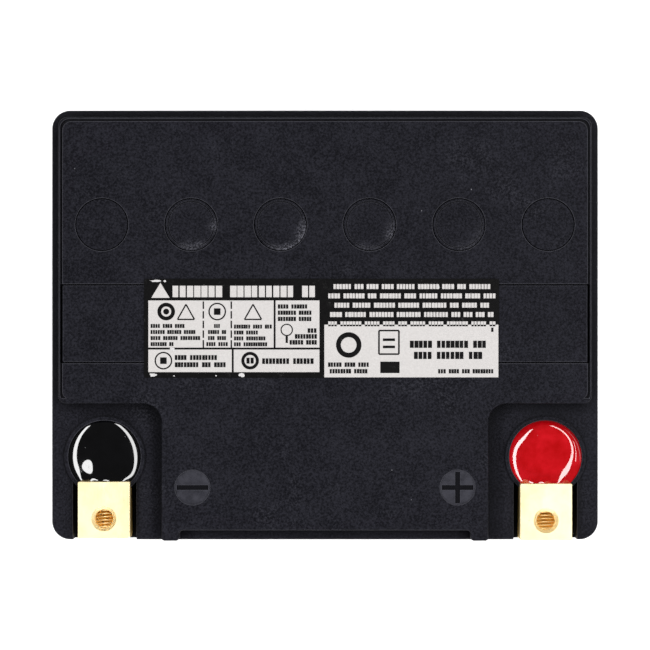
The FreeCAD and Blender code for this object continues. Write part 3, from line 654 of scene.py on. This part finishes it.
def make_label():
    low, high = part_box("label")
    film = bmesh.new()
    outline = rounded_outline(low.x, low.y, high.x, high.y, LABEL_CORNER)
    add_prism(film, outline, low.z, low.z + FILM_TOP)
    obj = piece("label_film", film, MATERIALS["label_film"])
    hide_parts("label")
    for name, layer, material in (
            ("label_panels", label_panels(), PANEL_INK), ("label_marks", label_marks(), DARK_INK),
            ("label_scuffs", label_scuffs(), SCUFF)):
        piece(name, layer.mesh, material)


# ---- terminals ----------------------------------------------------------------------------------
def tap_radius(depth, turn):
    """The radius of a threaded hole at a depth from its mouth and a part of a turn round it."""
    flank = abs(((depth / THREAD_PITCH + turn) % 1.0) * 2 - 1)
    cut = min(max(flank * 1.3 - 0.15, 0.0), 1.0)
    return max(THREAD_ROOT + THREAD_RISE * cut, THREAD_MOUTH - depth)


def tap(name, mouth, inward, depth):
    """The closed solid that cuts a threaded hole with a countersunk mouth."""
    mesh = bmesh.new()
    turn_to = Vector((0, 0, 1)).rotation_difference(inward).to_matrix().to_4x4()
    step = THREAD_PITCH / THREAD_STEPS
    rings = []
    for row in range(-THREAD_STEPS // 2, round(depth / step) + 1):
        ring = []
        for side in range(THREAD_SIDES):
            part = side / THREAD_SIDES
            radius = tap_radius(row * step, part)
            angle = 2 * math.pi * part
            x, y = radius * math.cos(angle), radius * math.sin(angle)
            ring.append(mesh.verts.new((x, y, row * step)))
        rings.append(ring)
    for above, below in zip(rings, rings[1:]):
        for i in range(THREAD_SIDES):
            mesh.faces.new((above[i - 1], above[i], below[i], below[i - 1]))
    mesh.faces.new(rings[0])
    mesh.faces.new(rings[-1])
    mesh.transform(Matrix.Translation(mouth) @ turn_to)
    bmesh.ops.recalc_face_normals(mesh, faces=mesh.faces)
    data = bpy.data.meshes.new(name)
    mesh.to_mesh(data)
    mesh.free()
    obj = bpy.data.objects.new(name, data)
    bpy.context.scene.collection.objects.link(obj)
    return obj


def forget_normals(obj):
    """Drops the shading normals that a mesh brought along, so that they follow its new shape."""
    stored = obj.data.attributes.get("custom_normal")
    if stored:
        obj.data.attributes.remove(stored)


def combine(obj, others, operation):
    """Joins the other objects to obj or cuts them from it, and removes them."""
    for other in others:
        step = obj.modifiers.new(other.name, "BOOLEAN")
        step.operation = operation
        step.solver = "EXACT"
        step.object = other
    graph = bpy.context.evaluated_depsgraph_get()
    shaped = bpy.data.meshes.new_from_object(obj.evaluated_get(graph))
    obj.modifiers.clear()
    obj.data = shaped
    for other in others:
        bpy.data.objects.remove(other)


def drop_slivers(obj):
    """Takes out the tiny edges and faces that a boolean leaves."""
    mesh = bmesh.new()
    mesh.from_mesh(obj.data)
    bmesh.ops.triangulate(mesh, faces=mesh.faces)
    bmesh.ops.dissolve_degenerate(mesh, dist=DEGENERATE_REACH, edges=mesh.edges)
    mesh.to_mesh(obj.data)
    mesh.free()


def node_copy(node):
    """A bmesh copy of a CAD node, its doubled vertices merged."""
    mesh = bmesh.new()
    mesh.from_mesh(frame["nodes"][node].data)
    bmesh.ops.remove_doubles(mesh, verts=mesh.verts, dist=MERGE_REACH)
    return mesh


def make_terminal(pole):
    """The CAD block with real threads cut into its two holes."""
    node = f"terminal_{pole}"
    low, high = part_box(node)
    x = (low.x + high.x) / 2
    obj = piece(f"threaded_{node}", node_copy(node), MATERIALS["terminal_brass"])
    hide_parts(node)
    forget_normals(obj)
    top = Vector((x, low.y + TOP_HOLE_SETBACK, high.z))
    front = Vector((x, low.y, high.z - FRONT_HOLE_DROP))
    taps = [
        tap("top_tap", top, Vector((0, 0, -1)), TOP_THREAD_DEPTH),
        tap("front_tap", front, Vector((0, 1, 0)), FRONT_THREAD_DEPTH)]
    combine(obj, taps, "DIFFERENCE")
    drop_slivers(obj)
    smooth(obj, SHARP_BRASS)


# ---- resin --------------------------------------------------------------------------------------
# Each form is: crown and its power; drop at the rim and its power; how much flatter the crown is
# and towards which direction; a swell's x, y, width and height. Lengths are in radii of the seal,
# angles in radians.
RESIN_FORMS = {
    "negative": (0.125, 2.1, 0.034, 11.0, (0.0, 0.0), (-0.24, -0.26, 0.17, 0.060)),
    "positive": (0.190, 2.1, 0.022, 15.0, (14.0, 1.05), (0.34, -0.48, 0.22, 0.022)),
}


def resin_height(x, y, radius, block_back, form, seed):
    """The height of the resin over its flat bed: a dome that climbs the back of the brass block."""
    crown, crown_power, drop, drop_power, (flatter, towards), swelling = form
    swell_x, swell_y, swell_width, swell = swelling
    spread = min(1.0, math.hypot(x, y) / radius)
    facing = (1 + math.cos(math.atan2(y, x) - towards)) / 2
    crown_power += flatter * facing ** 4
    dome = crown * (1 - spread ** crown_power) + drop * (1 - spread ** drop_power)
    off = math.hypot(x / radius - swell_x, y / radius - swell_y) / swell_width
    inside = 1 - spread ** 4
    dome += swell * math.exp(-off ** 2 / 2) * inside
    away = max(0.0, y - block_back)
    lobes = 0.62 + 0.38 * math.cos(x / (1.15 * MM) + seed)
    climb = RESIN_CLIMB * lobes * math.exp(-away / RESIN_CLIMB_REACH)
    return RESIN_EDGE + dome * radius + climb * min(1.0, inside + 0.1)


def make_resin(pole, seed):
    """The domed skin of the resin, lying on the CAD potting."""
    low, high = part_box(f"potting_{pole}")
    radius = (high.x - low.x) / 2 - RESIN_SIDE_GAP
    centre = Vector(((low.x + high.x) / 2, high.y - (high.x - low.x) / 2, high.z))
    block_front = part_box(f"terminal_{pole}")[0].y
    block_back = block_front + BLOCK_LENGTH - centre.y + RESIN_BLOCK_GAP
    mesh = bmesh.new()
    form = RESIN_FORMS[pole]
    peak = resin_height(0, 0, radius, block_back, form, seed)
    middle = mesh.verts.new((centre.x, centre.y, centre.z + peak))
    rings = []
    for ring in range(1, RESIN_RINGS + 1):
        share = math.sin(ring / RESIN_RINGS * math.pi / 2)
        row = []
        for side in range(RESIN_SIDES):
            angle = 2 * math.pi * side / RESIN_SIDES
            reach = radius
            if math.sin(angle) < 0:
                reach = min(radius, block_back / math.sin(angle))
            x = reach * share * math.cos(angle)
            y = reach * share * math.sin(angle)
            z = resin_height(x, y, radius, block_back, form, seed)
            row.append(mesh.verts.new((centre.x + x, centre.y + y, centre.z + z)))
        rings.append(row)
    for i in range(RESIN_SIDES):
        mesh.faces.new((middle, rings[0][i - 1], rings[0][i]))
    for inner, outer in zip(rings, rings[1:]):
        for i in range(RESIN_SIDES):
            mesh.faces.new((inner[i - 1], outer[i - 1], outer[i], inner[i]))
    foot = [mesh.verts.new((v.co.x, v.co.y, centre.z - RESIN_SUNK)) for v in rings[-1]]
    for i in range(RESIN_SIDES):
        mesh.faces.new((rings[-1][i - 1], foot[i - 1], foot[i], rings[-1][i]))
    mesh.faces.new(foot)
    slot = "black_resin" if pole == "negative" else "red_resin"
    smooth(piece(f"resin_skin_{pole}", mesh, MATERIALS[slot]), SHARP_RESIN)


# ---- lid ----------------------------------------------------------------------------------------
def make_lid():
    """The lid with its two terminal corners joined on, as the one moulding that it is."""
    corners = [f"lid_corner_{pole}" for pole in POLES]
    obj = piece("lid_shell", node_copy("lid"), MATERIALS["lid_plastic"])
    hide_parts("lid", *corners)
    forget_normals(obj)
    others = []
    for node in corners:
        data = bpy.data.meshes.new(node)
        mesh = node_copy(node)
        mesh.to_mesh(data)
        mesh.free()
        other = bpy.data.objects.new(f"{node}_part", data)
        bpy.context.scene.collection.objects.link(other)
        forget_normals(other)
        others.append(other)
    combine(obj, others, "UNION")
    smooth(obj)


# ---- the bead along the joint of lid and case ----------------------------------------------------
def make_seam_bead():
    """The uneven bead that heat sealing squeezes out under the lid's skirt."""
    rng = random.Random(11)
    low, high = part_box("lid")
    path = rounded_outline(
        low.x + BEAD_INSET, low.y + BEAD_INSET, high.x - BEAD_INSET, high.y - BEAD_INSET,
        BEAD_CORNER, 10)
    points = []
    for i, point in enumerate(path):
        start, end = Vector(path[i - 1]), Vector(point)
        parts = max(1, int((end - start).length / BEAD_STEP))
        points += [start.lerp(end, part / parts) for part in range(parts)]
    mesh = bmesh.new()
    rings = []
    for i, point in enumerate(points):
        ahead = points[(i + 1) % len(points)] - points[i - 1]
        out = Vector((ahead.y, -ahead.x)).normalized()
        size = rng.uniform(*BEAD_SIZES) * MM
        ring = []
        for side in range(BEAD_SIDES):
            angle = 2 * math.pi * side / BEAD_SIDES
            flat = point + out * size * math.cos(angle)
            z = low.z - BEAD_DROP + size * math.sin(angle)
            ring.append(mesh.verts.new((flat.x, flat.y, z)))
        rings.append(ring)
    for i, ring in enumerate(rings):
        for side in range(BEAD_SIDES):
            mesh.faces.new((rings[i - 1][side - 1], rings[i - 1][side], ring[side], ring[side - 1]))
    bead = piece("heat_seal_bead", mesh, MATERIALS["case_plastic"])
    smooth(bead, SHARP_BEAD)


# ---- stage --------------------------------------------------------------------------------------
def softbox(name, place, size, power):
    data = bpy.data.lights.new(name, "AREA")
    data.shape = "RECTANGLE"
    data.size, data.size_y = size
    data.energy = power
    obj = bpy.data.objects.new(name, data)
    bpy.context.scene.collection.objects.link(obj)
    obj.location = place
    obj.rotation_euler = (LIGHTS_AIM - Vector(place)).to_track_quat("-Z", "Y").to_euler()


def make_stage():
    mesh = bmesh.new()
    half = FLOOR_SIZE / 2
    corners = [(-half, -half), (half, -half), (half, half), (-half, half)]
    mesh.faces.new([mesh.verts.new((x, y, -FLOOR_DROP)) for x, y in corners])
    data = bpy.data.meshes.new("floor")
    mesh.to_mesh(data)
    mesh.free()
    floor = bpy.data.objects.new("floor", data)
    bpy.context.scene.collection.objects.link(floor)
    data.materials.append(floor_material())
    for box in SOFTBOXES:
        softbox(*box)
    world = bpy.data.worlds.new("studio")
    world.use_nodes = True
    background = world.node_tree.nodes["Background"].inputs
    background["Color"].default_value = (1.0, 1.0, 1.0, 1.0)
    background["Strength"].default_value = AMBIENT
    bpy.context.scene.world = world
    bpy.context.scene.view_settings.view_transform = "Standard"


def make_camera():
    """Straight above the battery, with its terminals towards the bottom of the picture."""
    data = bpy.data.cameras.new("camera")
    data.sensor_width = SENSOR
    data.lens = SENSOR * CAMERA_DISTANCE / VIEW_WIDTH
    camera = bpy.data.objects.new("camera", data)
    bpy.context.scene.collection.objects.link(camera)
    camera.location = (0, 0, TOP + CAMERA_DISTANCE)
    bpy.context.scene.camera = camera


# ---- everything ---------------------------------------------------------------------------------
def dress_cad_nodes():
    """Gives every CAD node the material of its slot."""
    slots = {part["node"]: part["material_slot"] for part in frame["record"]["subparts"]}
    for name, obj in frame["nodes"].items():
        obj.data.materials.clear()
        obj.data.materials.append(MATERIALS[slots[name]])


def main():
    make_camera()
    dress_cad_nodes()
    make_lid()
    make_label()
    for seed, pole in enumerate(POLES):
        make_terminal(pole)
        make_resin(pole, 1.0 + 1.7 * seed)
    make_seam_bead()
    make_stage()


main()
